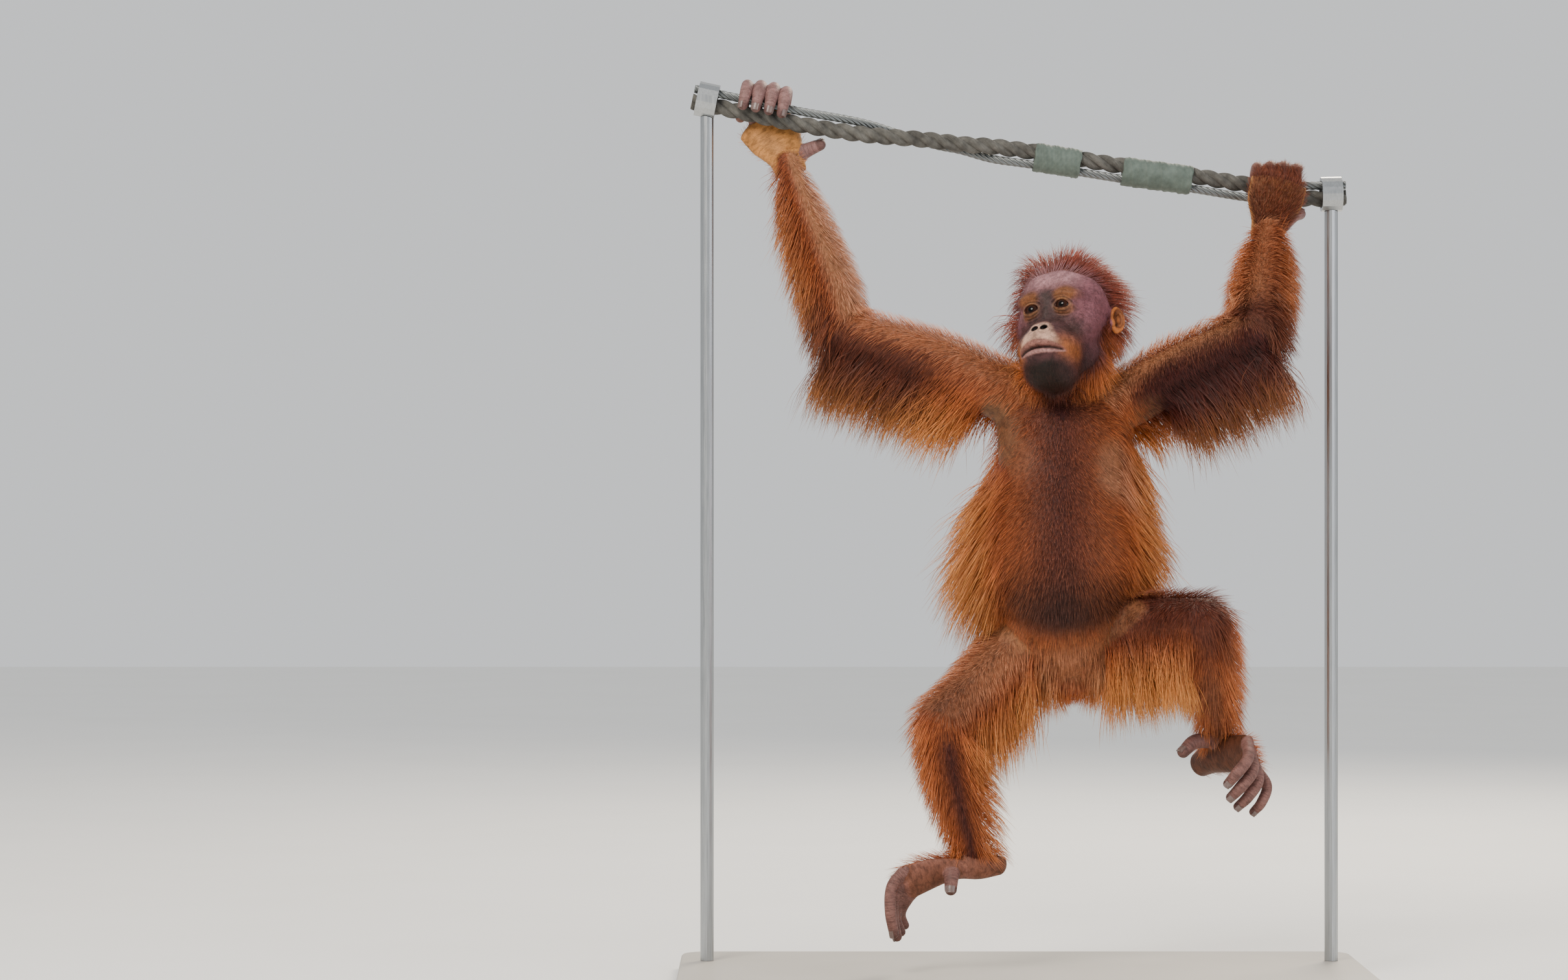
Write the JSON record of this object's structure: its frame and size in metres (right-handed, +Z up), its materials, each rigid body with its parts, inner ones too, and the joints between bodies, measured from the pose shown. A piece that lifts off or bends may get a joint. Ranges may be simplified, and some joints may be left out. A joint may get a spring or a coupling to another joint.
{
  "type": "juvenile orangutan hanging from a cable, on a display stand",
  "caption": "A young orangutan with a shaggy red-brown coat hangs by its hands from a slanting cable, arms spread and legs bent, on a flat stand with rods.",
  "frame": {"origin": "centre of the underside of the stand's base, on the floor", "axes": "+Z up, -Y the way the animal's chest faces, +X to the animal's left"},
  "size_m": [0.8, 0.4, 1.0561],
  "materials": {
    "coat": "long, coarse, red-brown hair",
    "face": "bare and short-haired skin, purple-brown with a pale muzzle",
    "skin": "bare, wrinkled skin with dark nails",
    "eyes": "dark brown, wet",
    "rope": "weathered fibre rope",
    "wire": "stranded, dull",
    "tape": "grey-green tape, creased",
    "base": "painted board, matt",
    "rods": "brushed"
  },
  "bodies": {
    "root": {"cable_rope": "rope", "cable_tape_1": "tape", "cable_tape_2": "tape", "cable_wire": "wire", "ear_left": "skin", "ear_right": "skin", "eye_left": "eyes", "eye_right": "eyes", "finger_index_left": "skin", "finger_index_right": "skin", "finger_little_left": "skin", "finger_little_right": "skin", "finger_middle_left": "skin", "finger_middle_right": "skin", "finger_ring_left": "skin", "finger_ring_right": "skin", "foot_left": "skin", "foot_right": "skin", "forearm_left": "coat", "forearm_right": "coat", "hand_left": "skin", "hand_right": "skin", "head": "face", "neck": "coat", "pelvis": "coat", "shin_left": "coat", "shin_right": "coat", "stand_base": "base", "stand_collar_left": "rods", "stand_collar_right": "rods", "stand_rod_left": "rods", "stand_rod_right": "rods", "thigh_left": "coat", "thigh_right": "coat", "thumb_left": "skin", "thumb_right": "skin", "toe_big_left": "skin", "toe_big_right": "skin", "toe_fifth_left": "skin", "toe_fifth_right": "skin", "toe_fourth_left": "skin", "toe_fourth_right": "skin", "toe_second_left": "skin", "toe_second_right": "skin", "toe_third_left": "skin", "toe_third_right": "skin", "torso": "coat", "upper_arm_left": "coat", "upper_arm_right": "coat"}
  },
  "joints": []
}
